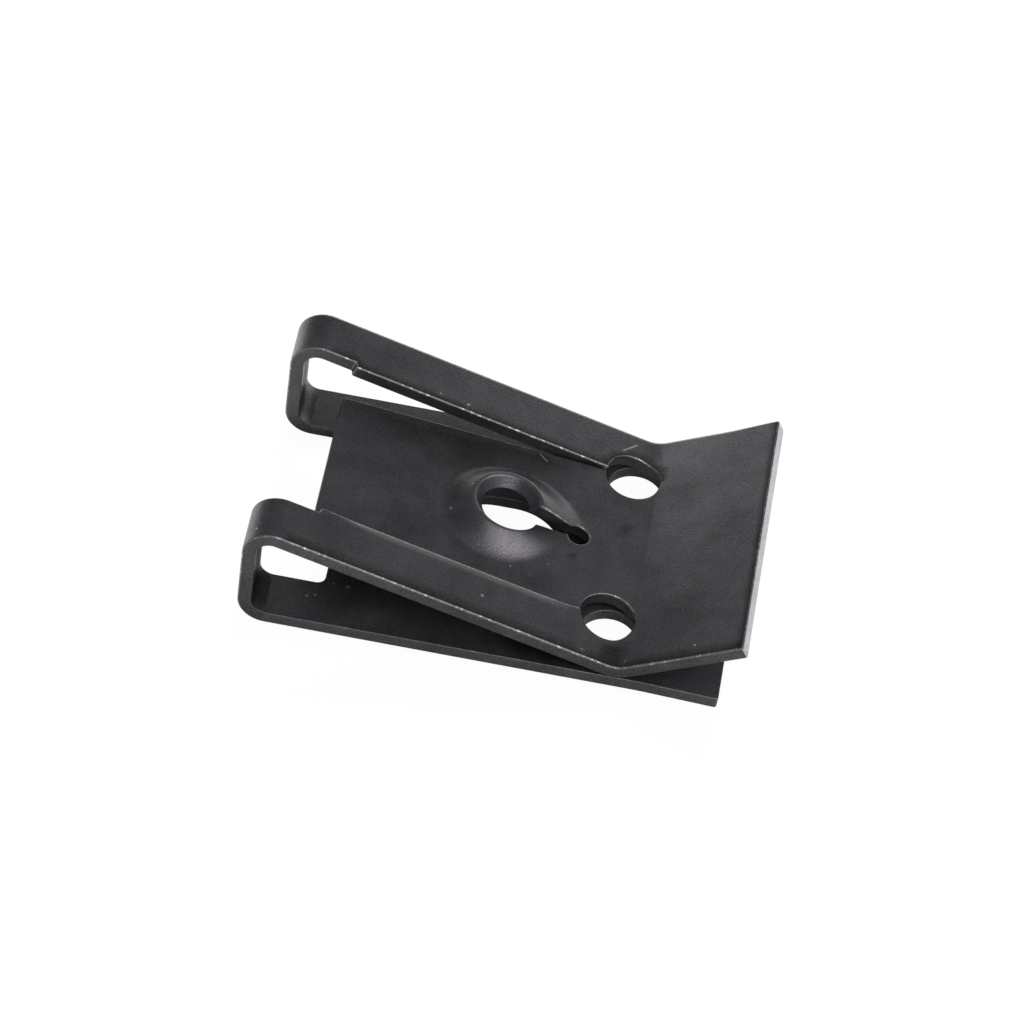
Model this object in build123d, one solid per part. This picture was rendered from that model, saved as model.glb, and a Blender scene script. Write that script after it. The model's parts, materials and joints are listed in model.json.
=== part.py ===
from build123d import *
from math import atan2, cos, degrees, radians, sin, sqrt, tan
import os

# U-clip speed nut, folded from one strip of spring steel.
# Frame: the screw axis meets the underside of the flat leg at the origin, +X runs from the
# fold to the open lip, Y runs across the width and +Z points out of the thread's dome.
# All lengths are in millimetres and all angles in degrees. Angles in an outline are counted
# from +X up towards +Z.

# Strip
sheet_thickness = 0.66
body_width = 15.0

# Flat leg that lies under the panel
leg_reach = 11.52           # screw axis to the leg's open end
lead_in_start = 7.8         # screw axis to where the leg's end turns down
lead_in_angle = 2.7
lead_in_radius = 20.0

# Fold
fold_reach = 11.4           # screw axis to the outside of the fold
fold_radius = 0.7           # inside of both bends

# Side strips and lip
crease_reach = 6.6          # screw axis to the sharp crease on the top face
crease_clearance = 0.03     # gap left between the crease and the flat leg
crease_radius = 1.2         # inside of the bend
strip_angle = 15.9
strip_width = 2.81
lip_angle = 28.5
lip_length = 6.33           # crease to the free edge, along the top face

# Window that lets the fold flex
window_step = 0.3           # how much each strip narrows beside the window
step_setback = 15.4         # crease to where each strip narrows, along the strip
step_radius = 0.13
window_reach = 7.65         # screw axis to the window's end in the flat leg
window_corner_radius = 0.4

# Tongue that carries the thread
tongue_angle = 7.1
tongue_lift = 0.21          # tongue's top face above the crease
tongue_radius = 0.6         # inside of its bend into the lip
tongue_reach = 8.65         # screw axis to the tongue's free edge
tongue_seam = 1.5           # crease to where the tongue's root is one with the lip
shear_gap = 0.04            # between the tongue and each side strip

# Round holes that end the two sheared slits
relief_diameter = 2.8
relief_setback = 0.9        # crease to the centre, along the strip
relief_inset = 2.92         # side edge to the centre
relief_sections = 6         # sections that carry the hole round the bend

# Round holes below them in the flat leg
leg_hole_diameter = 2.8
leg_hole_reach = 5.95       # screw axis to the centre
leg_hole_inset = 2.75       # side edge to the centre

# Clearance slot for the screw in the flat leg
clearance_width = 5.05
clearance_run = 0.9         # between the centres of its round ends

# Thread impression, one turn of a helix pressed up out of the tongue
rim_radius = 1.65           # top edge of the cut rim
rim_high = 1.05             # rim above the tongue where the turn ends high
rim_low = 0.05              # rim above the tongue where the turn ends low
rim_drop_power = 5          # keeps the rim high for most of the turn
rim_lean = 40.0             # tilt of the cut face where the turn ends high
rim_face = 0.76             # cut face from its top edge to its inner edge
flank_ease = 0.85           # slope of the flank at the rim, as a part of its mean slope
flank_lead = 0.45           # length over which the flank keeps its slope at rim and base
dome_radius = 3.1
dome_spread = 1.25          # extra radius beside the raised edge of the slit
spread_turn = 80.0          # part of the turn over which that extra radius fades
dome_margin = 0.15          # flat sheet round the widest part of the dome
section_turn = 15.0         # turn between the sections that shape the dome

# Slit that parts the two ends of the turn
slit_width = 0.32
slit_hole_diameter = 1.02
slit_hole_reach = 3.74      # screw axis to the centre of the slit's round end
slit_hole_offset = 0.1      # its centre beside the slit's middle, towards the low end

# Cutting shapes run past the sheet by this much
overcut = 1.0


def along(start, angle, distance):
    """Point at a distance from start, on a line that rises at an angle."""
    return (start[0] + distance * cos(radians(angle)), start[1] + distance * sin(radians(angle)))


def under(start, angle, depth):
    """Point at a depth below start, square to a line that rises at an angle."""
    return along(start, angle - 90, depth)


def height_at(x, start, angle):
    """Height, at x, of the line that rises through start at an angle."""
    return start[1] + (x - start[0]) * tan(radians(angle))


def crossing(first, first_angle, second, second_angle):
    """Point where two sloping lines cross."""
    slopes = tan(radians(first_angle)) - tan(radians(second_angle))
    x = first[0] + (height_at(first[0], second, second_angle) - first[1]) / slopes
    return (x, height_at(x, first, first_angle))


def middle_corner(corner, left_angle, right_angle):
    """Corner of the sheet's middle line, below a sharp corner of its top face."""
    half = sheet_thickness / 2
    left = under(corner, left_angle, half)
    right = under(corner, right_angle, half)
    return crossing(left, left_angle, right, right_angle)


def slab(outline, width):
    """Outline in the XZ plane carried across the width, evenly on both sides."""
    return extrude(Plane.XZ * outline, width / 2, both=True)


def sheet_band(middle_points, inner_radii, width):
    """Bent sheet whose middle line follows the points, with its corners rounded."""
    half = sheet_thickness / 2
    path = FilletPolyline(*middle_points, radius=[radius + half for radius in inner_radii])
    return slab(trace(path, sheet_thickness), width)


def face_plane(origin, angle):
    """Plane of a sloping top face: its X runs back towards the fold, its Z out of the sheet."""
    slope = radians(angle)
    return Plane(
        (origin[0], 0, origin[1]),
        x_dir=(-cos(slope), 0, -sin(slope)),
        z_dir=(-sin(slope), 0, cos(slope)),
    )


def slit_spacing():
    """Distance between the two sheared slits."""
    return body_width - 2 * strip_width


def crease_point():
    """Sharp crease on the top face, placed so that its round underside clears the leg."""
    half_turn = radians((strip_angle + lip_angle) / 2)
    lean = radians((lip_angle - strip_angle) / 2)
    sag = crease_radius * (cos(lean) / cos(half_turn) - 1)
    return (crease_reach, 2 * sheet_thickness + crease_clearance - sag)


def tongue_corner():
    """Sharp corner of the top face where the tongue's line meets the lip's."""
    crease = crease_point()
    lifted = (crease[0], crease[1] + tongue_lift)
    return crossing(lifted, -tongue_angle, crease, lip_angle)


def folded_strip():
    """Whole folded strip at full width: flat leg, fold, side strips and lip."""
    half = sheet_thickness / 2
    crease = crease_point()
    bend_down = (lead_in_start, half)
    leg_end = (leg_reach, height_at(leg_reach, bend_down, -lead_in_angle))
    fold_low = (half - fold_reach, half)
    strip_middle = under(crease, -strip_angle, half)
    fold_high = (fold_low[0], height_at(fold_low[0], strip_middle, -strip_angle))
    valley = middle_corner(crease, -strip_angle, lip_angle)
    lip_end = under(along(crease, lip_angle, lip_length), lip_angle, half)
    points = [leg_end, bend_down, fold_low, fold_high, valley, lip_end]
    return sheet_band(points, [lead_in_radius, fold_radius, fold_radius, crease_radius], body_width)


def tongue_space():
    """Space between the side strips, from the lip back over the fold."""
    floor = sheet_thickness + crease_clearance / 2
    top = 2 * fold_reach
    back = -fold_reach - overcut
    seam = along(crease_point(), lip_angle, tongue_seam)
    seam_foot = under(seam, lip_angle, sheet_thickness)
    outline = Polyline(
        (seam[0], top), seam, seam_foot, (crease_reach, floor), (back, floor), (back, top), close=True
    )
    return slab(make_face(outline), slit_spacing())


def fold_window():
    """Wider space round the fold: through the strips from their step, and on into the flat leg."""
    back = -fold_reach - overcut
    top = 2 * fold_reach
    width = slit_spacing() + 2 * window_step
    step = along(crease_point(), 180 - strip_angle, step_setback)
    above = under(step, -strip_angle, -overcut)
    below = under(step, -strip_angle, sheet_thickness + overcut)
    outline = Polyline((above[0], top), above, below, (back, below[1]), (back, top), close=True)
    leg_part = Pos(back, 0, -overcut) * Box(
        -window_reach - back, width, overcut + below[1], align=(Align.MIN, Align.CENTER, Align.MIN)
    )
    leg_corners = leg_part.edges().filter_by(Axis.Z).group_by(Axis.X)[-1]
    return slab(make_face(outline), width) + fillet(leg_corners, window_corner_radius)


def upper_opening():
    """Tongue space and fold window as one cut, with rounded steps between them."""
    opening = tongue_space() + fold_window()
    across_strip = Axis((0, 0, 0), (sin(radians(strip_angle)), 0, cos(radians(strip_angle))))
    steps = opening.edges().filter_by(across_strip)
    return fillet(steps, min(step_radius, 0.45 * window_step))


def relief_hole():
    """Round hole pierced in the flat sheet, so that it bends with the sheet at the crease."""
    bend = radians(strip_angle + lip_angle)
    tangent = crease_radius * tan(bend / 2)
    radius = relief_diameter / 2
    to_bend = relief_setback - tangent
    past_bend = to_bend + crease_radius * bend
    height = sheet_thickness + overcut
    half_plane = Rectangle(2 * relief_diameter, 2 * relief_diameter)
    strip_start = along(crease_point(), 180 - strip_angle, tangent)
    strip_part = Pos(to_bend, 0) * Circle(radius) & Pos(relief_diameter, 0) * half_plane
    hole = face_plane(strip_start, -strip_angle) * extrude(strip_part, height, both=True)
    if to_bend < radius:
        hole += bent_relief(to_bend, min(bend, 0.98 * (radius - to_bend) / crease_radius))
    if past_bend < radius:
        lip_start = along(crease_point(), lip_angle, tangent)
        lip_part = Pos(past_bend, 0) * Circle(radius) & Pos(-relief_diameter, 0) * half_plane
        hole += face_plane(lip_start, lip_angle) * extrude(lip_part, height, both=True)
    return hole


def bent_relief(to_bend, reach):
    """Part of the relief hole that lies in the bend, built from sections across the sheet."""
    bend = radians(strip_angle + lip_angle)
    strip_start = along(crease_point(), 180 - strip_angle, crease_radius * tan(bend / 2))
    bend_centre = under(strip_start, -strip_angle, -crease_radius)
    height = sheet_thickness + overcut
    sections = []
    for index in range(relief_sections):
        turned = reach * index / (relief_sections - 1)
        half_width = sqrt((relief_diameter / 2) ** 2 - (to_bend + crease_radius * turned) ** 2)
        face = face_plane(bend_centre, degrees(turned) - strip_angle)
        radial = Plane(face.origin, x_dir=(0, 1, 0), z_dir=-face.x_dir)
        middle = -(crease_radius + sheet_thickness / 2)
        sections.append(radial * Pos(0, middle) * Rectangle(2 * half_width, height))
    return loft(sections)


def relief_holes():
    """Both relief holes, stopped short of the flat leg."""
    floor = sheet_thickness + crease_clearance / 2
    offset = body_width / 2 - relief_inset
    holes = Pos(0, offset, 0) * relief_hole() + Pos(0, -offset, 0) * relief_hole()
    size = 4 * fold_reach
    return holes & Pos(0, 0, floor + size / 2) * Box(size, size, size)


def rim_height(turn):
    """Height of the rim above the tongue, from the high end of the turn to the low end."""
    return rim_high - (rim_high - rim_low) * (turn / 360) ** rim_drop_power


def pressed_radius():
    """Radius of the pressed area, out to where the tongue is flat all round."""
    return dome_radius + dome_spread + dome_margin


def dome_section(turn):
    """Radial section through the pressed sheet at one turn about the screw axis."""
    rise = rim_height(turn)
    base = dome_radius + dome_spread * max(0, 1 - turn / spread_turn) ** 2
    flank = -flank_ease * degrees(atan2(rise, base - rim_radius))
    outside = pressed_radius() + overcut
    floor = -sheet_thickness
    rim = (rim_radius, rise)
    raised = rise / rim_high
    face_length = sheet_thickness + (rim_face - sheet_thickness) * raised
    rim_foot = under(rim, -rim_lean * raised, face_length)
    top = Bezier(rim, along(rim, flank, flank_lead), (base - flank_lead, 0), (base, 0))
    bottom = Bezier(
        rim_foot, along(rim_foot, flank, flank_lead), (base - flank_lead, floor), (base, floor)
    )
    flat = Polyline((base, 0), (outside, 0), (outside, floor), (base, floor))
    return Rot(0, 0, turn) * (Plane.XZ * make_face(top + flat + bottom + Line(rim, rim_foot)))


def through_tongue(outline):
    """Outline on the tongue's face carried through the pressed sheet."""
    depth = 2 * sheet_thickness
    return Pos(0, 0, -depth) * extrude(outline, depth + rim_high + overcut)


def thread_dome():
    """Pressed dome with its rim, its slit and the slit's round end, on a flat face at Z 0."""
    first = degrees(slit_width / 2 / (pressed_radius() + overcut))
    count = round((360 - 2 * first) / section_turn)
    turns = [first + (360 - 2 * first) * index / count for index in range(count + 1)]
    ring = loft([dome_section(turn) for turn in turns])
    past_slit = Pos(slit_hole_reach, 0, -sheet_thickness) * Box(
        pressed_radius(), slit_width, sheet_thickness, align=(Align.MIN, Align.CENTER, Align.MIN)
    )
    slit = Pos(slit_hole_reach / 2, 0) * Rectangle(slit_hole_reach, slit_width)
    slit += Pos(slit_hole_reach, -slit_hole_offset) * Circle(slit_hole_diameter / 2)
    pressed = (ring + past_slit) & through_tongue(Circle(pressed_radius()))
    return pressed - through_tongue(slit)


def tongue_width():
    """Width of the tongue between its two shear gaps."""
    return slit_spacing() - 2 * shear_gap


def tongue_band():
    """Plain bent tongue, as wide as the slits are apart, with its root in the lip."""
    half = sheet_thickness / 2
    corner = tongue_corner()
    free_top = (-tongue_reach, height_at(-tongue_reach, corner, -tongue_angle))
    free_end = under(free_top, -tongue_angle, half)
    bend = middle_corner(corner, -tongue_angle, lip_angle)
    root = under(along(crease_point(), lip_angle, tongue_seam), lip_angle, half)
    return sheet_band([free_end, bend, root], [tongue_radius], slit_spacing())


def shear_gaps():
    """Thin gaps along both edges of the tongue, as far as the relief holes."""
    gap = Box(4 * fold_reach, 2 * shear_gap, 4 * fold_reach, align=(Align.MAX, Align.CENTER, Align.CENTER))
    end = crease_reach - relief_setback
    offset = slit_spacing() / 2
    return Pos(end, offset, 0) * gap + Pos(end, -offset, 0) * gap


def tongue():
    """Tongue with its thread, free along both sides."""
    slope = radians(tongue_angle)
    face = Plane(
        (0, 0, height_at(0, tongue_corner(), -tongue_angle)),
        x_dir=(cos(slope), 0, -sin(slope)),
        z_dir=(sin(slope), 0, cos(slope)),
    )
    thread = thread_dome() & through_tongue(Rectangle(4 * fold_reach, tongue_width()))
    band = tongue_band() - shear_gaps()
    band -= face * through_tongue(Circle(pressed_radius()))
    return band + face * thread


def leg_openings():
    """Clearance slot and two round holes in the flat leg."""
    offset = body_width / 2 - leg_hole_inset
    outline = SlotCenterToCenter(clearance_run, clearance_width)
    for side in (-1, 1):
        outline += Pos(leg_hole_reach, side * offset) * Circle(leg_hole_diameter / 2)
    return Pos(0, 0, -overcut) * extrude(outline, overcut + sheet_thickness + crease_clearance / 2)


def speed_nut_clip():
    """The whole clip as one folded piece."""
    clip = folded_strip() - upper_opening()
    clip += tongue()
    clip -= relief_holes()
    return clip - leg_openings()


os.makedirs("parts", exist_ok=True)
export_step(speed_nut_clip(), "parts/speed_nut_clip.step")
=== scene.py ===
import json
import math

import bmesh
import bpy
import numpy as np
from mathutils import Matrix, Vector
from mathutils.geometry import delaunay_2d_cdt

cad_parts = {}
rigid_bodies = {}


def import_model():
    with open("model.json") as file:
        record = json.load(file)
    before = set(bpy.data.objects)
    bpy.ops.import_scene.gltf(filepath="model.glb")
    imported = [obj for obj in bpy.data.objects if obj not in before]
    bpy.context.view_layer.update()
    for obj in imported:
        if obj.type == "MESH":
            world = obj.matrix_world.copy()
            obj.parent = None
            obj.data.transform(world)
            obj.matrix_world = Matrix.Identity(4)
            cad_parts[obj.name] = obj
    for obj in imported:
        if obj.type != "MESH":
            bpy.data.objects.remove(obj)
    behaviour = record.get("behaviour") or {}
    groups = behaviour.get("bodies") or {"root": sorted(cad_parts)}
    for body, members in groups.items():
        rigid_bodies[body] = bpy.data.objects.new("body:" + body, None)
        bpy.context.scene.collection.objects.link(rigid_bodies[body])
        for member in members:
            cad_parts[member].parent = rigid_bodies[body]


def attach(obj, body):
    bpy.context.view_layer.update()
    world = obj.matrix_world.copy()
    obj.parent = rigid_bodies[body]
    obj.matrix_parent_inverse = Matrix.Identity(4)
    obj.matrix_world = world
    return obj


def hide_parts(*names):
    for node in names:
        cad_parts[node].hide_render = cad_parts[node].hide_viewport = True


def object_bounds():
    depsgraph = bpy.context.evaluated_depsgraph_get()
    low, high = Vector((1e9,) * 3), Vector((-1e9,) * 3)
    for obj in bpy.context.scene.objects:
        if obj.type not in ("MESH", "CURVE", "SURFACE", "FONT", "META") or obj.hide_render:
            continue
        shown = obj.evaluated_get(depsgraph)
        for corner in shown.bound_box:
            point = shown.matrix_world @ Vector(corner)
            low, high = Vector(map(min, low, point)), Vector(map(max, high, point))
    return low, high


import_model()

for leftover in [o for o in bpy.context.scene.objects if o.name in ("Cube", "Light", "Camera")]:
    bpy.data.objects.remove(leftover)
cad_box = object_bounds()


# ---------------------------------------------------------------------------------------------
# The clip: one strip of 0.66 mm spring steel. It is pierced and slit flat, its thread is pressed
# up, and it is then bent round on itself. Shearing rolls its edges over on the outer face. The
# mesh is made the same way: a flat blank, in millimetres, carried round the bends.
# ---------------------------------------------------------------------------------------------
sheet = 0.66
half_width = 7.5

# Seen from its side, from the screw axis: reaches, slopes in degrees, and the outer face's radii
crease = (6.6, 1.26175)
strip_slope, lip_slope, tongue_slope = 15.9, 28.5, 7.1
lip_length, tongue_lift, fold_reach = 6.33, 0.21, 11.4
tongue_end, leg_end, leg_turn, leg_turn_at = 8.65, 11.52, 2.7, 7.8
crease_radius, fold_radius, leg_radius, tongue_radius = 1.2, 1.36, 20, 0.6

# Seen from above, from the middle line: the strips' sheared edge, the same edge beside the window,
# the tongue's edge, and the middle of the gap between strip and tongue
strip_edge, window_edge, tongue_edge = 4.69, 4.99, 4.61
gap_middle = (strip_edge + tongue_edge) / 2


def heading(angle):
    """Unit step in the XZ plane at an angle above +X."""
    return np.array([math.cos(math.radians(angle)), math.sin(math.radians(angle))])


def outward(angle):
    """Unit step out of the outer face, where the sheet runs at an angle above +X."""
    return np.array([math.sin(math.radians(angle)), -math.cos(math.radians(angle))])


def bent_route(start, runs):
    """Outer face seen from its side, from straight runs (angle, length, radius of the bend after).

    Each stretch of the route is (begin, length, angle, turn, anchor, radius): a straight run from
    its anchor, or a bend about it.
    """
    route = []
    point, travelled = np.array(start, float), 0.0
    for index, (angle, length, radius) in enumerate(runs):
        route.append((travelled, length, angle, 0.0, point, radius))
        point = point + heading(angle) * length
        travelled += length
        if index + 1 < len(runs):
            next_angle = runs[index + 1][0]
            turn = math.radians(next_angle - angle)
            side = math.copysign(1, turn)
            centre = point - side * radius * outward(angle)
            route.append((travelled, radius * abs(turn), angle, turn, centre, radius))
            point = centre + side * radius * outward(next_angle)
            travelled += radius * abs(turn)
    return route


def corner_route(corners, radii):
    """The same route from its sharp corners and the radius of each bend."""
    corners = [np.array(c, float) for c in corners]
    angles = [math.degrees(math.atan2(*(b - a)[::-1])) for a, b in zip(corners, corners[1:])]
    for i in range(1, len(angles)):
        angles[i] -= 360 * round((angles[i] - angles[i - 1]) / 360)
    cuts = [r * math.tan(math.radians(abs(b - a)) / 2) for r, a, b in zip(radii, angles, angles[1:])]
    cuts = [0.0, *cuts, 0.0]
    runs = []
    for i, (angle, radius) in enumerate(zip(angles, [*radii, 0.0])):
        span = float(np.linalg.norm(corners[i + 1] - corners[i]))
        runs.append((angle, span - cuts[i] - cuts[i + 1], radius))
    return bent_route(corners[0], runs)


def crossing(first, first_slope, second, second_slope):
    """Point where two sloping lines cross."""
    a, b = math.tan(math.radians(first_slope)), math.tan(math.radians(second_slope))
    x = (second[1] - first[1] + a * first[0] - b * second[0]) / (a - b)
    return (x, first[1] + a * (x - first[0]))


def route_length(route):
    """Length of a route from end to end."""
    return route[-1][0] + route[-1][1]


lip_tip = np.array(crease) + lip_length * heading(lip_slope)
fold_top = (-fold_reach, crease[1] + (crease[0] + fold_reach) * math.tan(math.radians(strip_slope)))
leg_corner = (leg_turn_at - sheet / 2 * math.tan(math.radians(leg_turn / 2)), 0.0)
leg_tip = (
    np.array([leg_end, sheet / 2 - (leg_end - leg_turn_at) * math.tan(math.radians(leg_turn))])
    + sheet / 2 * heading(-leg_turn - 90)
)
tongue_corner = crossing((crease[0], crease[1] + tongue_lift), -tongue_slope, crease, lip_slope)
tongue_rise = (tongue_corner[0] + tongue_end) * math.tan(math.radians(tongue_slope))
strip_route = corner_route(
    [lip_tip, crease, fold_top, (-fold_reach, 0), leg_corner, leg_tip],
    [crease_radius, fold_radius, fold_radius, leg_radius],
)
tongue_tip = (-tongue_end, tongue_corner[1] + tongue_rise)
tongue_route = corner_route([lip_tip, tongue_corner, tongue_tip], [tongue_radius])

# Places along the blank, as distances from the lip's free edge
_, _, strip_run, upper_bend, _, lower_bend, leg_run, _, _ = strip_route
blank_end, free_end = route_length(strip_route), route_length(tongue_route)
crease_at = strip_run[0] - crease_radius * math.tan(math.radians((strip_slope + lip_slope) / 2))
fold_begin, fold_end = upper_bend[0], lower_bend[0] + lower_bend[1]
leg_axis_at = leg_run[0] + (fold_reach - fold_radius)
axis_at = free_end - (tongue_end / math.cos(math.radians(tongue_slope)))


def along_route(route, s):
    """Points of the outer face and the directions out of it, at distances s from the lip's edge."""
    point, normal = np.zeros((len(s), 2)), np.zeros((len(s), 2))
    for index, (begin, length, angle, turn, anchor, radius) in enumerate(route):
        first, last = index == 0, index == len(route) - 1
        here = (first | (s >= begin)) & (last | (s < begin + length))
        gone = s[here] - begin
        slope = math.radians(angle) + turn * gone / length
        out = np.stack([np.sin(slope), -np.cos(slope)], 1)
        if turn:
            point[here] = anchor + math.copysign(radius, turn) * out
        else:
            point[here] = anchor + gone[:, None] * heading(angle)
        normal[here] = out
    return point, normal


# Pressed thread, in the tongue's own face: x down the tongue from the screw axis, y across. Its rim
# stays high for most of one turn and comes down at the end of it. The curve of its flank is found by
# halving, and runs a little past the rim.
rim, rim_high, rim_low, rim_power = 1.65, 1.05, 0.05, 5
rim_lean, rim_face, flank_ease, flank_lead = 40.0, 0.76, 0.85, 0.45
dome_base, dome_spread, spread_turn = 3.1, 1.15, 80.0
past_rim, halvings = 0.15, 40


def curve(q, controls):
    """Cubic curve from its first control value, at q = 0, to its last, at q = 1."""
    a, b, c, d = controls
    p = 1 - q
    return p ** 3 * a + 3 * p * p * q * b + 3 * p * q * q * c + q ** 3 * d


def pressed(x, y):
    """Height of the outer face over the flat point x, y, then x, y and height of the inner face."""
    r = np.hypot(x, y)
    turn = np.degrees(np.arctan2(y, x)) % 360
    rise = rim_high - (rim_high - rim_low) * (turn / 360) ** rim_power
    base = dome_base + dome_spread * np.maximum(0, 1 - turn / spread_turn) ** 2
    flank = -flank_ease * np.arctan2(rise, base - rim)
    lean = np.radians(-rim_lean * rise / rim_high - 90)
    cut = sheet + (rim_face - sheet) * rise / rim_high
    foot, foot_height = rim + cut * np.cos(lean), rise + cut * np.sin(lean)
    lead, drop = flank_lead * np.cos(flank), flank_lead * np.sin(flank)
    low, high = np.full_like(r, -past_rim), np.ones_like(r)
    for _ in range(halvings):
        middle = (low + high) / 2
        short = curve(middle, (rim, rim + lead, base - flank_lead, base)) < r
        low, high = np.where(short, middle, low), np.where(short, high, middle)
    q = (low + high) / 2
    flat = r >= base
    outer_height = np.where(flat, 0, curve(q, (rise, rise + drop, 0, 0)))
    inner_height = np.where(flat, -sheet, curve(q, (foot_height, foot_height + drop, -sheet, -sheet)))
    inner_r = np.where(flat, r, curve(q, (foot, foot + lead, base - flank_lead, base)))
    scale = inner_r / np.maximum(r, 1e-9)
    return outer_height, x * scale, y * scale, inner_height


def both_faces(flat):
    """Outer and inner face of the finished clip at points (s, y) of the flat blank."""
    s, y = flat[:, 0], flat[:, 1]
    on_tongue = (np.abs(y) < gap_middle) & (s < free_end + 1)
    strip_point, strip_out = along_route(strip_route, s)
    tongue_point, tongue_out = along_route(tongue_route, s)
    point = np.where(on_tongue[:, None], tongue_point, strip_point)
    out = np.where(on_tongue[:, None], tongue_out, strip_out)
    outer = np.stack([point[:, 0], y, point[:, 1]], 1)
    inner = outer - sheet * np.stack([out[:, 0], 0 * y, out[:, 1]], 1)
    x = axis_at - s
    near = on_tongue & (np.hypot(x, y) < dome_base + dome_spread)
    if near.any():
        height, inner_x, inner_y, inner_height = pressed(x[near], y[near])
        slope = math.radians(tongue_slope)
        down_tongue = np.array([math.cos(slope), 0, -math.sin(slope)])
        out_of_tongue = np.array([math.sin(slope), 0, math.cos(slope)])
        across = np.array([0, 1, 0])
        foot = outer[near]
        outer[near] = foot + height[:, None] * out_of_tongue
        inner[near] = (
            foot + (inner_x - x[near])[:, None] * down_tongue + inner_height[:, None] * out_of_tongue
            + (inner_y - y[near])[:, None] * across
        )
    return outer, inner


def at_depth(flat, depth):
    """Points of the finished clip at a depth below the outer face."""
    outer, inner = both_faces(flat)
    return outer + (inner - outer) * (np.asarray(depth) / sheet).reshape(-1, 1)


def unit(vectors):
    return vectors / np.linalg.norm(vectors, axis=1)[:, None]


def out_of_face(flat, depth):
    """Direction out of the outer face at points of the blank, measured on the bent sheet."""
    step = 1e-3
    ds = at_depth(flat + [step, 0], depth) - at_depth(flat - [step, 0], depth)
    dy = at_depth(flat + [0, step], depth) - at_depth(flat - [0, step], depth)
    return unit(np.cross(dy, ds))


def bend_rows(route, step=8):
    """Distances where the sheet needs a row of points, every few degrees round its bends."""
    rows = []
    for begin, length, _, turn, _, _ in route:
        if turn:
            count = max(2, round(abs(math.degrees(turn)) / step))
            rows += [begin + length * i / count for i in range(count + 1)]
    return rows


strip_rows, tongue_rows = bend_rows(strip_route), bend_rows(tongue_route)


def arc(centre, radius, begin, end, step=7.5):
    """Points of an arc, from one angle to another, both ends included."""
    count = max(1, round(abs(end - begin) / step))
    angles = np.radians(np.linspace(begin, end, count + 1))
    return [(centre[0] + radius * math.cos(a), centre[1] + radius * math.sin(a)) for a in angles]


def eased(corners, step=18):
    """Closed outline from corners (s, y, radius), with each corner rounded."""
    points = []
    for i, (s, y, radius) in enumerate(corners):
        here = np.array([s, y])
        if radius == 0:
            points.append(tuple(here))
            continue
        before = np.array(corners[i - 1][:2]) - here
        after = np.array(corners[(i + 1) % len(corners)][:2]) - here
        before, after = before / np.linalg.norm(before), after / np.linalg.norm(after)
        half = math.acos(max(-1, min(1, float(before @ after)))) / 2
        reach = radius / math.tan(half)
        middle = (before + after) / np.linalg.norm(before + after) * radius / math.sin(half)
        first, last = here + before * reach, here + after * reach
        begin = math.degrees(math.atan2(*(first - here - middle)[::-1]))
        end = math.degrees(math.atan2(*(last - here - middle)[::-1]))
        end -= 360 * round((end - begin) / 360)
        points += arc(here + middle, radius, begin, end, step)
    return points


def refined(outline, longest=0.45, shortest=0.012, corner_share=0.02):
    """Outline with points added at every bend row and along its long runs."""
    points = []
    for i in range(len(outline)):
        a, b = np.array(outline[i], float), np.array(outline[(i + 1) % len(outline)], float)
        cuts = {0.0}
        span = b[0] - a[0]
        if abs(span) > 1e-6:
            shares = [(row - a[0]) / span for row in strip_rows + tongue_rows]
            cuts |= {share for share in shares if corner_share < share < 1 - corner_share}
        cuts = sorted(cuts) + [1.0]
        length = np.linalg.norm(b - a)
        for low, high in zip(cuts, cuts[1:]):
            parts = max(1, math.ceil((high - low) * length / longest))
            points += [tuple(a + (b - a) * (low + (high - low) * k / parts)) for k in range(parts)]
    kept = [points[0]]
    for point in points[1:]:
        if math.dist(point, kept[-1]) > shortest:
            kept.append(point)
    if math.dist(kept[0], kept[-1]) < shortest:
        kept.pop()
    return np.array(kept)


def turned(outline, counterclockwise):
    """The outline, reversed if it runs the other way round."""
    x, y = outline[:, 0], outline[:, 1]
    area = float(np.sum(x * np.roll(y, -1) - y * np.roll(x, -1)))
    return outline if (area > 0) == counterclockwise else outline[::-1].copy()


# Edge of the whole blank
blank_corner = 0.12
blank_outline = eased([
    (0, -half_width, blank_corner), (blank_end, -half_width, blank_corner),
    (blank_end, half_width, blank_corner), (0, half_width, blank_corner),
])

# The opening that parts the tongue from the strips: a window at the fold, and on each side a long
# sheared slit that ends in a round hole
step_at, window_at = crease_at + 15.4, leg_axis_at - 7.65
window_ease, step_ease, tongue_ease = 0.4, 0.12, 0.1
hole_at, hole_y, hole_radius, hole_drift = crease_at + 0.9, half_width - 2.92, 1.33, 0.025
window_half = eased([
    (0, 0, 0), (window_at, 0, 0), (window_at, window_edge, window_ease),
    (step_at, window_edge, step_ease), (step_at, strip_edge, step_ease), (hole_at, strip_edge, 0),
])[1:-1]
tongue_half = eased([
    (hole_at, tongue_edge, 0), (free_end, tongue_edge, tongue_ease), (free_end, 0, 0), (0, 0, 0),
])[1:-1]
hole_begin = math.degrees(math.asin((strip_edge - hole_y) / hole_radius))
hole_end = 360 + math.degrees(math.asin((tongue_edge - hole_y) / hole_radius))
hole_arc = []
for a in np.radians(np.linspace(hole_begin, hole_end, 45)):
    centre = hole_at - hole_drift + hole_drift * math.sin(a)
    hole_arc.append((centre + hole_radius * math.cos(a), hole_y + hole_radius * math.sin(a)))
far_half = window_half + hole_arc + tongue_half
slit_outline = far_half + [(s, -y) for s, y in reversed(far_half) if abs(y) > 1e-6]

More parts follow.
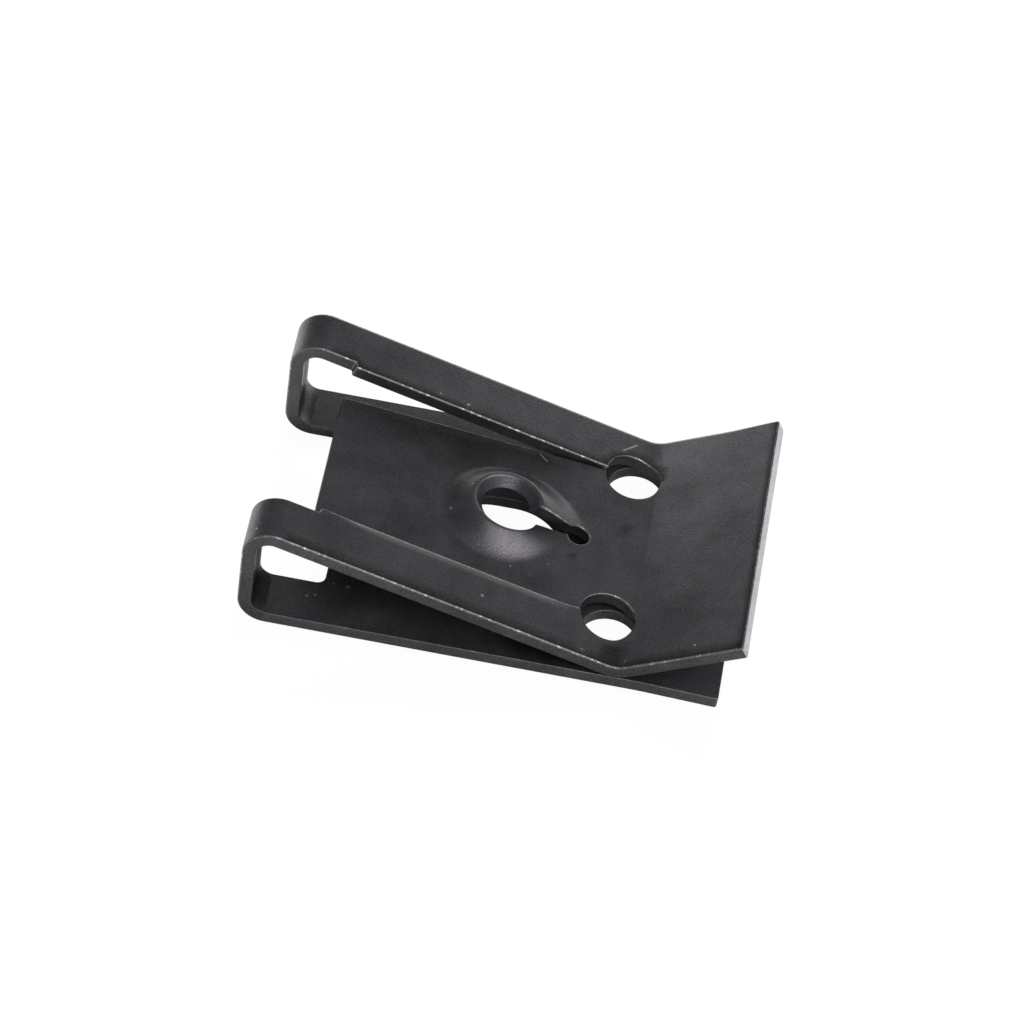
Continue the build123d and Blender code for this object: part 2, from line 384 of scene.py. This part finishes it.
# Bore of the thread, and the slit from it that ends in a small round hole
bore, bore_side = 1.62, 0.08
half_slit, slit_hole, slit_hole_at, slit_hole_side = 0.16, 0.51, 3.74, -0.1
bore_low = math.degrees(math.asin((half_slit + bore_side) / bore))
bore_high = math.degrees(math.asin((half_slit - bore_side) / bore))
low_gap = math.degrees(math.asin((half_slit + slit_hole_side) / slit_hole))
high_gap = math.degrees(math.asin((half_slit - slit_hole_side) / slit_hole))
thread_outline = [(axis_at - x, y) for x, y in (
    arc((0, bore_side), bore, 360 - bore_low, bore_high, 6)
    + arc((slit_hole_at, slit_hole_side), slit_hole, 180 - high_gap, low_gap - 180, 12)
)]

# Clearance slot for the screw in the leg, and a round hole on each side of the leg
slot_radius, slot_run = 2.525, 0.9
leg_hole_x, leg_hole_y, leg_hole_radius = 5.95, half_width - 2.75, 1.36


def leg_opening(x, y, radius, run=0.0):
    """Round hole in the leg, or a slot with this distance between the centres of its ends."""
    centre, last = leg_axis_at + x, 270 if run else 264
    return arc((centre + run / 2, y), radius, -90, 90, 6) + arc((centre - run / 2, y), radius, 90, last, 6)


openings = [slit_outline, thread_outline, leg_opening(0, 0, slot_radius, slot_run)]
openings += [leg_opening(leg_hole_x, y, leg_hole_radius) for y in (leg_hole_y, -leg_hole_y)]
outlines = [turned(refined(blank_outline), True)] + [turned(refined(opening), False) for opening in openings]
blank, slits, thread = 0, 1, 2

# How far shearing rolls each edge over on the outer face, and the burr that it leaves on the inner
# face. The blank's far side, the near strip's slit and the thread's rim are rolled over most.
roll_over, far_roll, slit_roll, tongue_roll, rim_roll, burr = 0.09, 0.28, 0.09, 0.05, 0.17, 0.04
far_start, far_ramp, past_hole, before_step, slit_ramp, rim_border = 0.3, 2.2, 1.6, 0.5, 1.5, 0.25
rolled = [np.full(len(outline), roll_over) for outline in outlines]

s, y = outlines[blank].T
from_ends = np.minimum(s, blank_end - s)
far_side = np.where(y > half_width - 0.01, np.clip((from_ends - far_start) / far_ramp, 0, 1), 0)
rolled[blank] = roll_over + (far_roll - roll_over) * far_side

s, y = outlines[slits].T
tongue_side = np.abs(y) < gap_middle
near_strip = ~tongue_side & (y < 0)
from_ends = np.minimum(s - hole_at - past_hole, step_at - before_step - s)
rolled[slits] = np.where(tongue_side & (s > crease_at + 3), tongue_roll, roll_over)
rolled[slits] = rolled[slits] + slit_roll * near_strip * np.clip(from_ends / slit_ramp, 0, 1)

s, y = outlines[thread].T
inside_border = np.clip((rim + rim_border - np.hypot(s - axis_at, y)) / rim_border, 0, 1)
rolled[thread] = roll_over + (rim_roll - roll_over) * inside_border


def inset(outline, distance):
    """Outline moved into the steel."""
    edge = unit(np.roll(outline, -1, 0) - outline)
    after = np.stack([-edge[:, 1], edge[:, 0]], 1)
    before = np.roll(after, 1, 0)
    both = before + after
    both = both / np.maximum(1 + np.sum(before * after, 1), 0.6)[:, None]
    return outline + np.reshape(distance, (-1, 1)) * both


def inside_and_clearance(points, loops):
    """Whether points lie in the steel, and how far they are from its edges."""
    crossings = np.zeros(len(points), int)
    clearance = np.full(len(points), 1e9)
    for loop in loops:
        for a, b in zip(loop, np.roll(loop, -1, 0)):
            rises = (a[1] > points[:, 1]) != (b[1] > points[:, 1])
            if rises.any():
                at = a[0] + (points[rises, 1] - a[1]) / (b[1] - a[1]) * (b[0] - a[0])
                crossings[np.flatnonzero(rises)[at > points[rises, 0]]] += 1
            along = b - a
            t = np.clip(((points - a) @ along) / (along @ along), 0, 1)
            clearance = np.minimum(clearance, np.linalg.norm(points - a - t[:, None] * along, axis=1))
    return crossings % 2 == 1, clearance


# Points between the edges: rows across the strips and the leg, rows across the tongue, and rings
# round the thread
row_step, column_step, ring_step, edge_clearance = 0.55, 0.4, 0.18, 0.36
strip_reach, tongue_reach, ring_reach, ring_points = 7.2, 4.4, 4.4, 51
grid = []
plain_rows = [s for s in np.arange(0.4, blank_end, row_step) if all(abs(s - row) > 0.2 for row in strip_rows)]
for s in strip_rows + plain_rows:
    whole = s > free_end or s < tongue_rows[0] - 0.05
    columns = np.arange(-strip_reach, strip_reach + 0.1, column_step)
    grid += [(s, y) for y in columns if whole or abs(y) > gap_middle]
for s in tongue_rows + list(np.arange(tongue_rows[-1] + 0.3, free_end, row_step)):
    columns = np.arange(-tongue_reach, tongue_reach + 0.1, column_step)
    grid += [(s, y) for y in columns if math.hypot(axis_at - s, y) > ring_reach]
for r in np.arange(rim + 0.2, ring_reach + 0.01, ring_step):
    turns = np.radians(np.arange(ring_points) * 360 / ring_points)
    grid += [(axis_at - r * math.cos(a), r * math.sin(a)) for a in turns]
grid = np.array(grid)
within, clearance = inside_and_clearance(grid, outlines)
grid = grid[within & (clearance > edge_clearance)]

# Handling marks: fine bright scratches and nicks are above 0. Darker patches and painted shade are below it.
marks, mark_values = [], []
scratch_step = 0.07


def scratch(face, begin, end, width, bright):
    """Three lines of points on one face, with the middle one bright between its ends."""
    begin, end = np.array(begin), np.array(end)
    length = float(np.linalg.norm(end - begin))
    along = (end - begin) / length
    across = np.array([-along[1], along[0]])
    for t in np.linspace(0, 1, max(3, round(length / scratch_step))):
        for side in (-1, 0, 1):
            marks.append(begin + (end - begin) * t + across * width * side)
            value = bright * (side == 0) * (0 < t < 1)
            mark_values.append((value, 0) if face == "outer" else (0, value))


def nick(face, s, y, radius, bright):
    """A bright point on one face, in a ring of unmarked ones."""
    marks.append(np.array([s, y]))
    mark_values.append((bright, 0) if face == "outer" else (0, bright))
    for a in np.radians(np.arange(0, 360, 60)):
        marks.append(np.array([s + radius * math.cos(a), y + radius * math.sin(a)]))
        mark_values.append((0, 0))


scratch("outer", (7.95, 6.05), (7.22, 6.82), 0.045, 2.4)
scratch("outer", (11.83, 4.47), (11.36, 4.06), 0.05, 3.0)
scratch("outer", (20.3, 4.25), (19.95, 4.05), 0.03, 0.5)
for s, y, radius, bright in (
    (17.35, 5.15, 0.07, 1.6), (15.9, 5.12, 0.1, 2.2), (14.72, 0.55, 0.06, 1.6), (2.5, -6.76, 0.08, 2.0),
    (15.45, -0.75, 0.08, 2.2), (12.1, -3.15, 0.06, 1.4), (11.1, -3.35, 0.05, 0.9), (13.3, -6.2, 0.1, 2.6),
    (8.1, -7.1, 0.07, 1.2), (10.35, -2.41, 0.05, 0.8), (24.5, -6.9, 0.08, 2.2), (5.95, -7.05, 0.06, 0.9),
):
    nick("outer", s, y, radius, bright)
for s, y, radius, bright in (
    (32.8, -5.95, 0.08, 2.0), (33.18, -5.82, 0.1, 0.7), (33.9, -4.9, 0.07, 0.9), (34.6, -4.95, 0.12, 0.6),
    (36.2, -4.2, 0.1, 0.4), (30.9, 3.4, 0.08, 0.6),
):
    nick("inner", s, y, radius, bright)

# Marks keep clear of the edges, and most of all of the far one, which is rolled over most. They
# push away the points of the grid beside them.
far_border, far_clearance, mark_clearance, mark_gap = 6.6, 0.31, 0.12, 0.09
marks, mark_values = np.array(marks), np.array(mark_values)
within, clearance = inside_and_clearance(marks, outlines)
clear = within & (clearance > np.where(marks[:, 1] > far_border, far_clearance, mark_clearance))
marks, mark_values = marks[clear], mark_values[clear]
apart = np.linalg.norm(grid[:, None] - marks[None], axis=2).min(1)
grid = np.concatenate([grid[apart > mark_gap], marks])
outer_marks_and_shade, inner_marks_and_shade = np.zeros(len(grid)), np.zeros(len(grid))
outer_marks_and_shade[-len(marks):], inner_marks_and_shade[-len(marks):] = mark_values[:, 0], mark_values[:, 1]

# Darker patches on the outer face, painted shade in a band on the tongue beside the far slit, and painted
# shade inside the fold
band_shade, fold_shade = 0.8, 0.7
band_side, band_fade, band_begin, band_end, end_fade = 1.8, 2.6, 9.5, 21, 2
grid_s, grid_y = grid[:, 0], grid[:, 1]
for s, y, radius, depth in (
    (7.1, 1.05, 0.35, 0.9), (9.3, -1.55, 0.3, 0.8), (6.7, -6.5, 0.9, 0.9), (14.9, 2.6, 1.7, 0.25),
    (17.2, -2.4, 1.6, 0.3), (3.4, -4.6, 1.6, 0.25), (4.4, 3.9, 1.4, 0.25), (20.6, -5.9, 1.8, 0.25),
    (20.2, 5.9, 1.5, 0.2), (10.6, -3.9, 1.3, 0.35), (2.0, 1.0, 1.5, 0.2),
):
    outer_marks_and_shade -= depth * np.clip(1 - ((grid_s - s) ** 2 + (grid_y - y) ** 2) / radius ** 2, 0, 1)
# Painted shade on the tongue beside the far slit, where the far strip stands over it
shade_beside_slit = np.clip((grid_y - band_side) / band_fade, 0, 1) * (grid_y < strip_edge)
first_fade = np.clip((grid_s - band_begin) / end_fade, 0, 1)
last_fade = np.clip((band_end - grid_s) / end_fade, 0, 1)
outer_marks_and_shade -= band_shade * shade_beside_slit * first_fade * last_fade
# Painted shade on the inner face round the fold's hollow
inner_marks_and_shade -= fold_shade * ((grid_s > fold_begin) & (grid_s < fold_end))


def cap(loops, inner_points):
    """Triangles that fill the blank between its outlines."""
    points = np.concatenate(loops + [inner_points])
    edges, begin = [], 0
    for loop in loops:
        count = len(loop)
        edges += [(begin + i, begin + (i + 1) % count) for i in range(count)]
        begin += count
    verts, _, triangles, sources, _, _ = delaunay_2d_cdt([Vector(p) for p in points], edges, [], 0, 1e-7)
    assert len(verts) == len(points), "two edges of the blank cross"
    triangles = np.array([[sources[i][0] for i in triangle] for triangle in triangles])
    keep, _ = inside_and_clearance(points[triangles].mean(1), loops)
    return triangles[keep]


positions, normals, wear_and_highlight_rows, mark_and_light_rows, faces = [], [], [], [], []


def add_row(points, directions, wear_and_highlight, mark_and_painted_light):
    """Adds points to the mesh, and gives the number of the first."""
    begin = sum(len(p) for p in positions)
    positions.append(points)
    normals.append(directions)
    wear_and_highlight_rows.append(np.broadcast_to(wear_and_highlight, len(points)))
    mark_and_light_rows.append(np.broadcast_to(mark_and_painted_light, len(points)))
    return begin


# Wear of the corners, from 0 (black) to 1 (rubbed bright), and painted shade and highlights beside and on the
# cut faces
# The leg's end carries wear and a painted highlight along its inner corner.
lip_wear, far_wear, near_wear, leg_end_wear_and_highlight, under_wear = 0.6, 0.25, 1.0, 0.55, 0.1
tongue_wear, near_slit_wear, far_slit_wear, hole_wear, under_hole_wear = 0.1, 0.6, 1.0, 0.4, 0.05
# Painted shade beside the near edges, the lip's end and the far slit. A painted highlight beside and on the
# near strip's rolled slit edge.
shade_beside_edge, highlight_beside_roll, roll_highlight_strength = -0.8, 0.2, 0.3
# Cut faces: painted shade above the leg, which also roughens them. Bare steel with a painted highlight at the
# lip's end.
lip_cut_bare_and_highlight, far_slit_cut_shade, upper_cut_shade = 0.72, -0.1, -0.35
lip_margin, slit_margin = 0.05, 0.02


def rubbed(index, flat):
    """How far handling has brightened the outer and the inner corner of an edge, and the painted highlight on
    the inner corner at the leg's end.
    """
    s, y = flat.T
    if index == blank:
        outer = np.where(s < lip_margin, lip_wear, np.where(y > 0, far_wear, near_wear))
        return outer, np.where(s > leg_axis_at - 10, leg_end_wear_and_highlight, under_wear)
    if index == slits:
        on_tongue = (np.abs(y) < gap_middle) & (s < free_end + 0.1)
        outer = np.where(on_tongue, tongue_wear, np.where(y < 0, near_slit_wear, far_slit_wear))
        round_hole = (hole_at - s + y - np.sign(y) * hole_y) / hole_radius
        return np.where(s < crease_at + 2.0, np.clip(2 * round_hole - 1.2, 0, 1.2), outer), under_wear
    if index == thread:
        return np.where(np.hypot(s - axis_at, np.abs(y)) > rim + rim_border, 1.0, 0.0), 0.0
    return hole_wear, under_hole_wear


def edge_shade_and_highlight(index, flat):
    """Painted shade and highlights of an edge: on the face beside it, on its rolled-over corner and on its
    cut face, where the lip's end is also bare steel.
    """
    s, y = flat.T
    lip_end = (index == blank) & (s < lip_margin)
    far_slit = (index == slits) & (y > strip_edge - slit_margin)
    shaded_edges = lip_end | far_slit | ((index == blank) & (y < 0))
    slit_share = (index == slits) * np.clip((rolled[index] - roll_over) / slit_roll, 0, 1)
    beside = shade_beside_edge * shaded_edges * (s < fold_begin) + highlight_beside_roll * slit_share
    above_leg = (index in (blank, slits)) & (s < fold_end)
    cut = np.where(above_leg, np.where(far_slit, far_slit_cut_shade, upper_cut_shade), 0.0)
    return beside, roll_highlight_strength * slit_share, np.where(lip_end, lip_cut_bare_and_highlight, cut)


# The edges, each as rows: down the rolled-over corner, down the cut face and round the burr
outer_rings, inner_rings = [], []
for index, (loop, roll) in enumerate(zip(outlines, rolled)):
    outer_worn, inner_wear_and_highlight = rubbed(index, loop)
    beside_shade_and_highlight, roll_highlight, cut_face_shade_and_highlight = edge_shade_and_highlight(index, loop)
    middle = at_depth(loop, sheet / 2)
    tangent = unit(np.roll(middle, -1, 0) - middle)
    tangent = unit(tangent + np.roll(tangent, 1, 0))
    outer, inner = both_faces(loop)
    wall = unit(np.cross(tangent, unit(outer - inner)))
    into = unit(at_depth(inset(loop, 0.01), sheet / 2) - middle)
    wall = np.where((np.sum(wall * into, 1) > 0)[:, None], -wall, wall)
    rows = []
    for turn, wear_and_highlight, mark_and_painted_light in (
        (90, 0.0, beside_shade_and_highlight), (65, outer_worn, roll_highlight), (40, outer_worn, roll_highlight),
        (18, outer_worn, roll_highlight), (0, 0.0, cut_face_shade_and_highlight),
    ):
        out, side = math.sin(math.radians(turn)), math.cos(math.radians(turn))
        place, depth = inset(loop, roll * (1 - side)), roll * (1 - out)
        normal = unit(out * out_of_face(place, depth) + side * wall)
        rows.append(add_row(at_depth(place, depth), normal, wear_and_highlight, mark_and_painted_light))
    for turn, wear_and_highlight, mark_and_painted_light in ((0, 0.0, cut_face_shade_and_highlight), (45, inner_wear_and_highlight, 0.0), (90, 0.0, 0.0)):
        out, side = math.sin(math.radians(turn)), math.cos(math.radians(turn))
        place, depth = inset(loop, burr * (1 - side)), np.full(len(loop), sheet - burr * (1 - out))
        normal = unit(out * -out_of_face(place, depth) + side * wall)
        rows.append(add_row(at_depth(place, depth), normal, wear_and_highlight, mark_and_painted_light))
    count = len(loop)
    for upper, lower in zip(rows, rows[1:]):
        for i in range(count):
            after = (i + 1) % count
            faces.append((upper + i, upper + after, lower + after, lower + i))
    outer_rings.append(np.arange(count) + rows[0])
    inner_rings.append(np.arange(count) + rows[-1])

# The two faces, between the edges
outer_depth, inner_depth = np.zeros(len(grid)), np.full(len(grid), sheet)
outer_grid = add_row(at_depth(grid, outer_depth), out_of_face(grid, outer_depth), 0.0, outer_marks_and_shade)
inner_grid = add_row(at_depth(grid, inner_depth), -out_of_face(grid, inner_depth), 0.0, inner_marks_and_shade)
outer_loops = [inset(loop, roll) for loop, roll in zip(outlines, rolled)]
inner_loops = [inset(loop, burr) for loop in outlines]
for loops, rings, begin in ((outer_loops, outer_rings, outer_grid), (inner_loops, inner_rings, inner_grid)):
    numbers = np.concatenate(rings + [np.arange(len(grid)) + begin])
    faces += [tuple(numbers[triangle]) for triangle in cap(loops, grid)]

metres = 0.001
clip_mesh = bpy.data.meshes.new("folded_clip")
clip_mesh.from_pydata(
    (np.concatenate(positions) * metres).tolist(), [], [tuple(int(i) for i in face) for face in faces],
)
shape = bmesh.new()
shape.from_mesh(clip_mesh)
bmesh.ops.recalc_face_normals(shape, faces=shape.faces)
for face in shape.faces:
    face.smooth = True
shape.to_mesh(clip_mesh)
shape.free()
# The wear attribute also holds a painted highlight at the leg's end. The mark attribute holds scratches,
# nicks and darker patches, as well as the painted shade and highlights.
for name, values in (("wear_and_highlight", wear_and_highlight_rows), ("mark_and_painted_light", mark_and_light_rows)):
    channel = clip_mesh.attributes.new(name, "FLOAT", "POINT")
    channel.data.foreach_set("value", np.concatenate(values).astype(np.float32))
clip_mesh.normals_split_custom_set_from_vertices(np.concatenate(normals).tolist())
clip = bpy.data.objects.new("folded_clip", clip_mesh)
bpy.context.scene.collection.objects.link(clip)

# Blackened steel: a thin dark oxide over bare metal, mottled, with a fine rolled grain. The oxide
# has gone from the sharp corners and from the scratches, and a thin black grime dulls the rest. A darker
# colour and the black coat also lay painted shade, and bare metal lays painted highlights, at the marks kept
# on the mesh.
oxide_dark, oxide_pale = (0.004, 0.0037, 0.0042, 1), (0.024, 0.0226, 0.0252, 1)
bare_and_highlight_colour = (0.46, 0.44, 0.45, 1)
shade_and_patch_colour, grime_and_shade_colour = (0.004, 0.004, 0.004, 1), (0.006, 0.006, 0.006, 1)
least_rub, tooth_height = 0.17, 0.006
black_steel = bpy.data.materials.new("blackened_spring_steel")
black_steel.use_nodes = True
nodes, links = black_steel.node_tree.nodes, black_steel.node_tree.links
finish = nodes["Principled BSDF"]
finish.inputs["IOR"].default_value = 1.8
finish.inputs["Specular Tint"].default_value = (0.965, 0.915, 1.0, 1)
on_clip = nodes.new("ShaderNodeTexCoord")


def ranged(value, low, high, to_low, to_high):
    """A value stretched so that low..high becomes to_low..to_high."""
    part = nodes.new("ShaderNodeMapRange")
    for number, setting in enumerate((low, high, to_low, to_high), 1):
        part.inputs[number].default_value = setting
    links.new(value, part.inputs[0])
    return part.outputs[0]


def cloud(per_metre, detail, low, high):
    """Noise over the clip, stretched so that low..high becomes 0..1."""
    texture = nodes.new("ShaderNodeTexNoise")
    texture.inputs["Scale"].default_value = per_metre
    texture.inputs["Detail"].default_value = detail
    links.new(on_clip.outputs["Object"], texture.inputs["Vector"])
    return ranged(texture.outputs[0], low, high, 0, 1)


def combined(operation, first, second, clamp=False):
    """Two values, or a value and a number, added or multiplied."""
    part = nodes.new("ShaderNodeMath")
    part.operation = operation
    part.use_clamp = clamp
    for socket, value in zip(part.inputs, (first, second)):
        if isinstance(value, float):
            socket.default_value = value
        else:
            links.new(value, socket)
    return part.outputs[0]


def blend(factor, first, second):
    """Two colours mixed."""
    part = nodes.new("ShaderNodeMix")
    part.data_type = "RGBA"
    links.new(factor, part.inputs["Factor"])
    for name, value in (("A", first), ("B", second)):
        if isinstance(value, tuple):
            part.inputs[name].default_value = value
        else:
            links.new(value, part.inputs[name])
    return part.outputs["Result"]


def stored(name):
    """A value kept on the points of the mesh."""
    part = nodes.new("ShaderNodeAttribute")
    part.attribute_name = name
    return part.outputs["Fac"]


broad = cloud(260, 3, 0.36, 0.64)
patches = cloud(1100, 3, 0.36, 0.64)
grain = cloud(13000, 3, 0.3, 0.7)
dashes = cloud(3600, 3, 0.5, 0.64)
flecks = cloud(9000, 2, 0.42, 0.62)
mark_and_painted_light = stored("mark_and_painted_light")
# Marks below 0 darken the colour as painted shade and darker patches. Marks above 0 bare the metal as
# scratches, nicks and painted highlights.
shade_and_patches = ranged(mark_and_painted_light, 0, -1, 0, 1)
rub = combined("ADD", combined("MULTIPLY", dashes, flecks), least_rub, True)
bare_and_highlight = combined("ADD", combined("MULTIPLY", stored("wear_and_highlight"), rub), ranged(mark_and_painted_light, 0, 0.9, 0, 1), True)
mottle = combined("ADD", combined("MULTIPLY", broad, 0.4), combined("MULTIPLY", patches, 0.3))
mottle = combined("ADD", mottle, combined("MULTIPLY", grain, 0.3))
oxide = blend(shade_and_patches, blend(mottle, oxide_dark, oxide_pale), shade_and_patch_colour)
links.new(blend(bare_and_highlight, oxide, bare_and_highlight_colour), finish.inputs["Base Color"])
links.new(bare_and_highlight, finish.inputs["Metallic"])
roughness = combined("ADD", ranged(mottle, 0, 1, 0.36, 0.30), ranged(shade_and_patches, 0, 1, 0, 0.1))
links.new(roughness, finish.inputs["Roughness"])
tooth = nodes.new("ShaderNodeBump")
tooth.inputs["Strength"].default_value = 1.0
tooth.inputs["Distance"].default_value = 0.001
links.new(combined("MULTIPLY", grain, tooth_height), tooth.inputs["Height"])
links.new(tooth.outputs["Normal"], finish.inputs["Normal"])
# The black coat also lays the painted shade over the darker marks.
grime_and_shade_coat = nodes.new("ShaderNodeBsdfDiffuse")
grime_and_shade_coat.inputs["Color"].default_value = grime_and_shade_colour
uneven = combined("ADD", ranged(mottle, 0, 1, 0.2, 0), ranged(grain, 0, 1, 0.3, 0))
coated = nodes.new("ShaderNodeMixShader")
links.new(combined("ADD", combined("MULTIPLY", shade_and_patches, 0.6), uneven), coated.inputs[0])
links.new(finish.outputs[0], coated.inputs[1])
links.new(grime_and_shade_coat.outputs[0], coated.inputs[2])
links.new(coated.outputs[0], nodes["Material Output"].inputs["Surface"])
clip_mesh.materials.append(black_steel)
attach(clip, "root")
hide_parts("speed_nut_clip")


# ---------------------------------------------------------------------------------------------
# The camera: a long lens that looks down on the clip from over its near edge. It is turned a
# little about its own axis.
# ---------------------------------------------------------------------------------------------
view_distance = 0.2384625
view_azimuth, view_elevation, view_roll = (math.radians(a) for a in (2.0523, 46.8371, 8.9541))
view_target = Vector((0.0002442, 0.0010458, 0.0015))
towards = Vector((
    math.sin(view_azimuth) * math.cos(view_elevation),
    -math.cos(view_azimuth) * math.cos(view_elevation),
    math.sin(view_elevation),
))
level_right = (-towards).cross(Vector((0, 0, 1))).normalized()
level_up = level_right.cross(-towards).normalized()
right = math.cos(view_roll) * level_right + math.sin(view_roll) * level_up
up = -math.sin(view_roll) * level_right + math.cos(view_roll) * level_up
placed = Matrix((right, up, towards)).transposed().to_4x4()
placed.translation = view_target + view_distance * towards
lens = bpy.data.cameras.new("view")
lens.lens = 176.3
lens.sensor_width = 36
lens.clip_start = 0.01
lens.clip_end = 10
camera = bpy.data.objects.new("view", lens)
camera.matrix_world = placed
bpy.context.scene.collection.objects.link(camera)
bpy.context.scene.camera = camera


# ---------------------------------------------------------------------------------------------
# The table: one plain matt sheet that the clip stands on. It lights the clip as a pale grey, and
# the camera sees it as white but for a faint shadow.
# ---------------------------------------------------------------------------------------------
table_half, table_height = 0.6, cad_box[0][2]
sheet_grey, whiteness = (0.48, 0.48, 0.48, 1), 0.965
table_corners = ((-1, -1), (1, -1), (1, 1), (-1, 1))
table_mesh = bpy.data.meshes.new("white_table")
table_mesh.from_pydata(
    [(x * table_half, y * table_half, table_height) for x, y in table_corners], [], [(0, 1, 2, 3)],
)
table = bpy.data.objects.new("white_table", table_mesh)
bpy.context.scene.collection.objects.link(table)

white_sheet = bpy.data.materials.new("white_sheet")
white_sheet.use_nodes = True
nodes, links = white_sheet.node_tree.nodes, white_sheet.node_tree.links
nodes.clear()
paper = nodes.new("ShaderNodeBsdfDiffuse")
paper.inputs["Color"].default_value = sheet_grey
glow = nodes.new("ShaderNodeEmission")
glow.inputs["Color"].default_value = (1, 1, 1, 1)
seen = nodes.new("ShaderNodeLightPath")
share = nodes.new("ShaderNodeMath")
share.operation = "MULTIPLY"
share.inputs[1].default_value = whiteness
shown = nodes.new("ShaderNodeMixShader")
sheet_out = nodes.new("ShaderNodeOutputMaterial")
links.new(seen.outputs["Is Camera Ray"], share.inputs[0])
links.new(share.outputs[0], shown.inputs[0])
links.new(paper.outputs[0], shown.inputs[1])
links.new(glow.outputs[0], shown.inputs[2])
links.new(shown.outputs[0], sheet_out.inputs["Surface"])
table_mesh.materials.append(white_sheet)


# ---------------------------------------------------------------------------------------------
# The light tent: plain cloth round the table, white at the table's level (0), grey over most of
# its height and paler straight above (1). Soft lamps stand at the right, in front and behind.
# ---------------------------------------------------------------------------------------------
level_shade, top_shade = 1.0, 0.8
cloth_shades = ((0.08, 0.48), (0.2, 0.36), (0.6, 0.34), (0.8, 0.33), (0.92, 0.52))
tent = bpy.data.worlds.new("light_tent")
tent.use_nodes = True
nodes, links = tent.node_tree.nodes, tent.node_tree.links
nodes.clear()
direction = nodes.new("ShaderNodeTexCoord")
split = nodes.new("ShaderNodeSeparateXYZ")
walls = nodes.new("ShaderNodeValToRGB")
shades = walls.color_ramp.elements
shades[0].position, shades[0].color = 0.0, (level_shade, level_shade, level_shade, 1)
shades[1].position, shades[1].color = 1.0, (top_shade, top_shade, top_shade, 1)
for height, shade in cloth_shades:
    shades.new(height).color = (shade, shade, shade, 1)
seen = nodes.new("ShaderNodeLightPath")
pale = nodes.new("ShaderNodeMix")
pale.data_type = "RGBA"
pale.inputs["B"].default_value = (1, 1, 1, 1)
cloth = nodes.new("ShaderNodeBackground")
tent_out = nodes.new("ShaderNodeOutputWorld")
links.new(direction.outputs["Generated"], split.inputs[0])
links.new(split.outputs["Z"], walls.inputs[0])
links.new(seen.outputs["Is Camera Ray"], pale.inputs["Factor"])
links.new(walls.outputs[0], pale.inputs["A"])
links.new(pale.outputs["Result"], cloth.inputs["Color"])
links.new(cloth.outputs[0], tent_out.inputs["Surface"])
bpy.context.scene.world = tent


def add_lamp(name, place, back, wide, high, energy):
    """A soft lamp of this size, with its back turned to a direction."""
    lamp = bpy.data.lights.new(name, "AREA")
    lamp.shape = "RECTANGLE"
    lamp.size, lamp.size_y, lamp.energy = wide, high, energy
    holder = bpy.data.objects.new(name, lamp)
    holder.matrix_world = Matrix.Translation(place) @ back.to_track_quat("Z", "Y").to_matrix().to_4x4()
    bpy.context.scene.collection.objects.link(holder)
    return holder


# Bearings are in degrees clockwise from straight behind the clip.
lamp_distance = 0.35
for name, bearing, height, wide, high, energy in (
    ("right_lamp", 95, 46, 0.30, 0.22, 0.72), ("front_lamp", 155, 50, 0.30, 0.26, 0.88),
):
    bearing, height = math.radians(bearing), math.radians(height)
    level = math.cos(height)
    aim = Vector((math.sin(bearing) * level, math.cos(bearing) * level, math.sin(height)))
    add_lamp(name, aim * lamp_distance, aim, wide, high, energy)

# The lamp behind lights the table only.
aim = Vector((0.05, 0.76, 0.6)).normalized()
table_lamp = add_lamp("table_lamp", aim * lamp_distance, aim, 0.2, 0.2, 4.6)
lit = bpy.data.collections.new("lit_by_table_lamp")
lit.objects.link(table)
table_lamp.light_linking.receiver_collection = lit

# A small pale card stands close behind the clip. What it throws follows from its size.
card_wide, card_high, card_at, card_glow = 0.026, 0.010, Vector((0.001, 0.025, 0.0065)), 2.0
card_energy = card_glow * math.pi * card_wide * card_high
card = add_lamp("far_card", card_at, Vector((0, 1, 0)), card_wide, card_high, card_energy)
card.visible_camera = False

bpy.context.scene.view_settings.view_transform = "Standard"
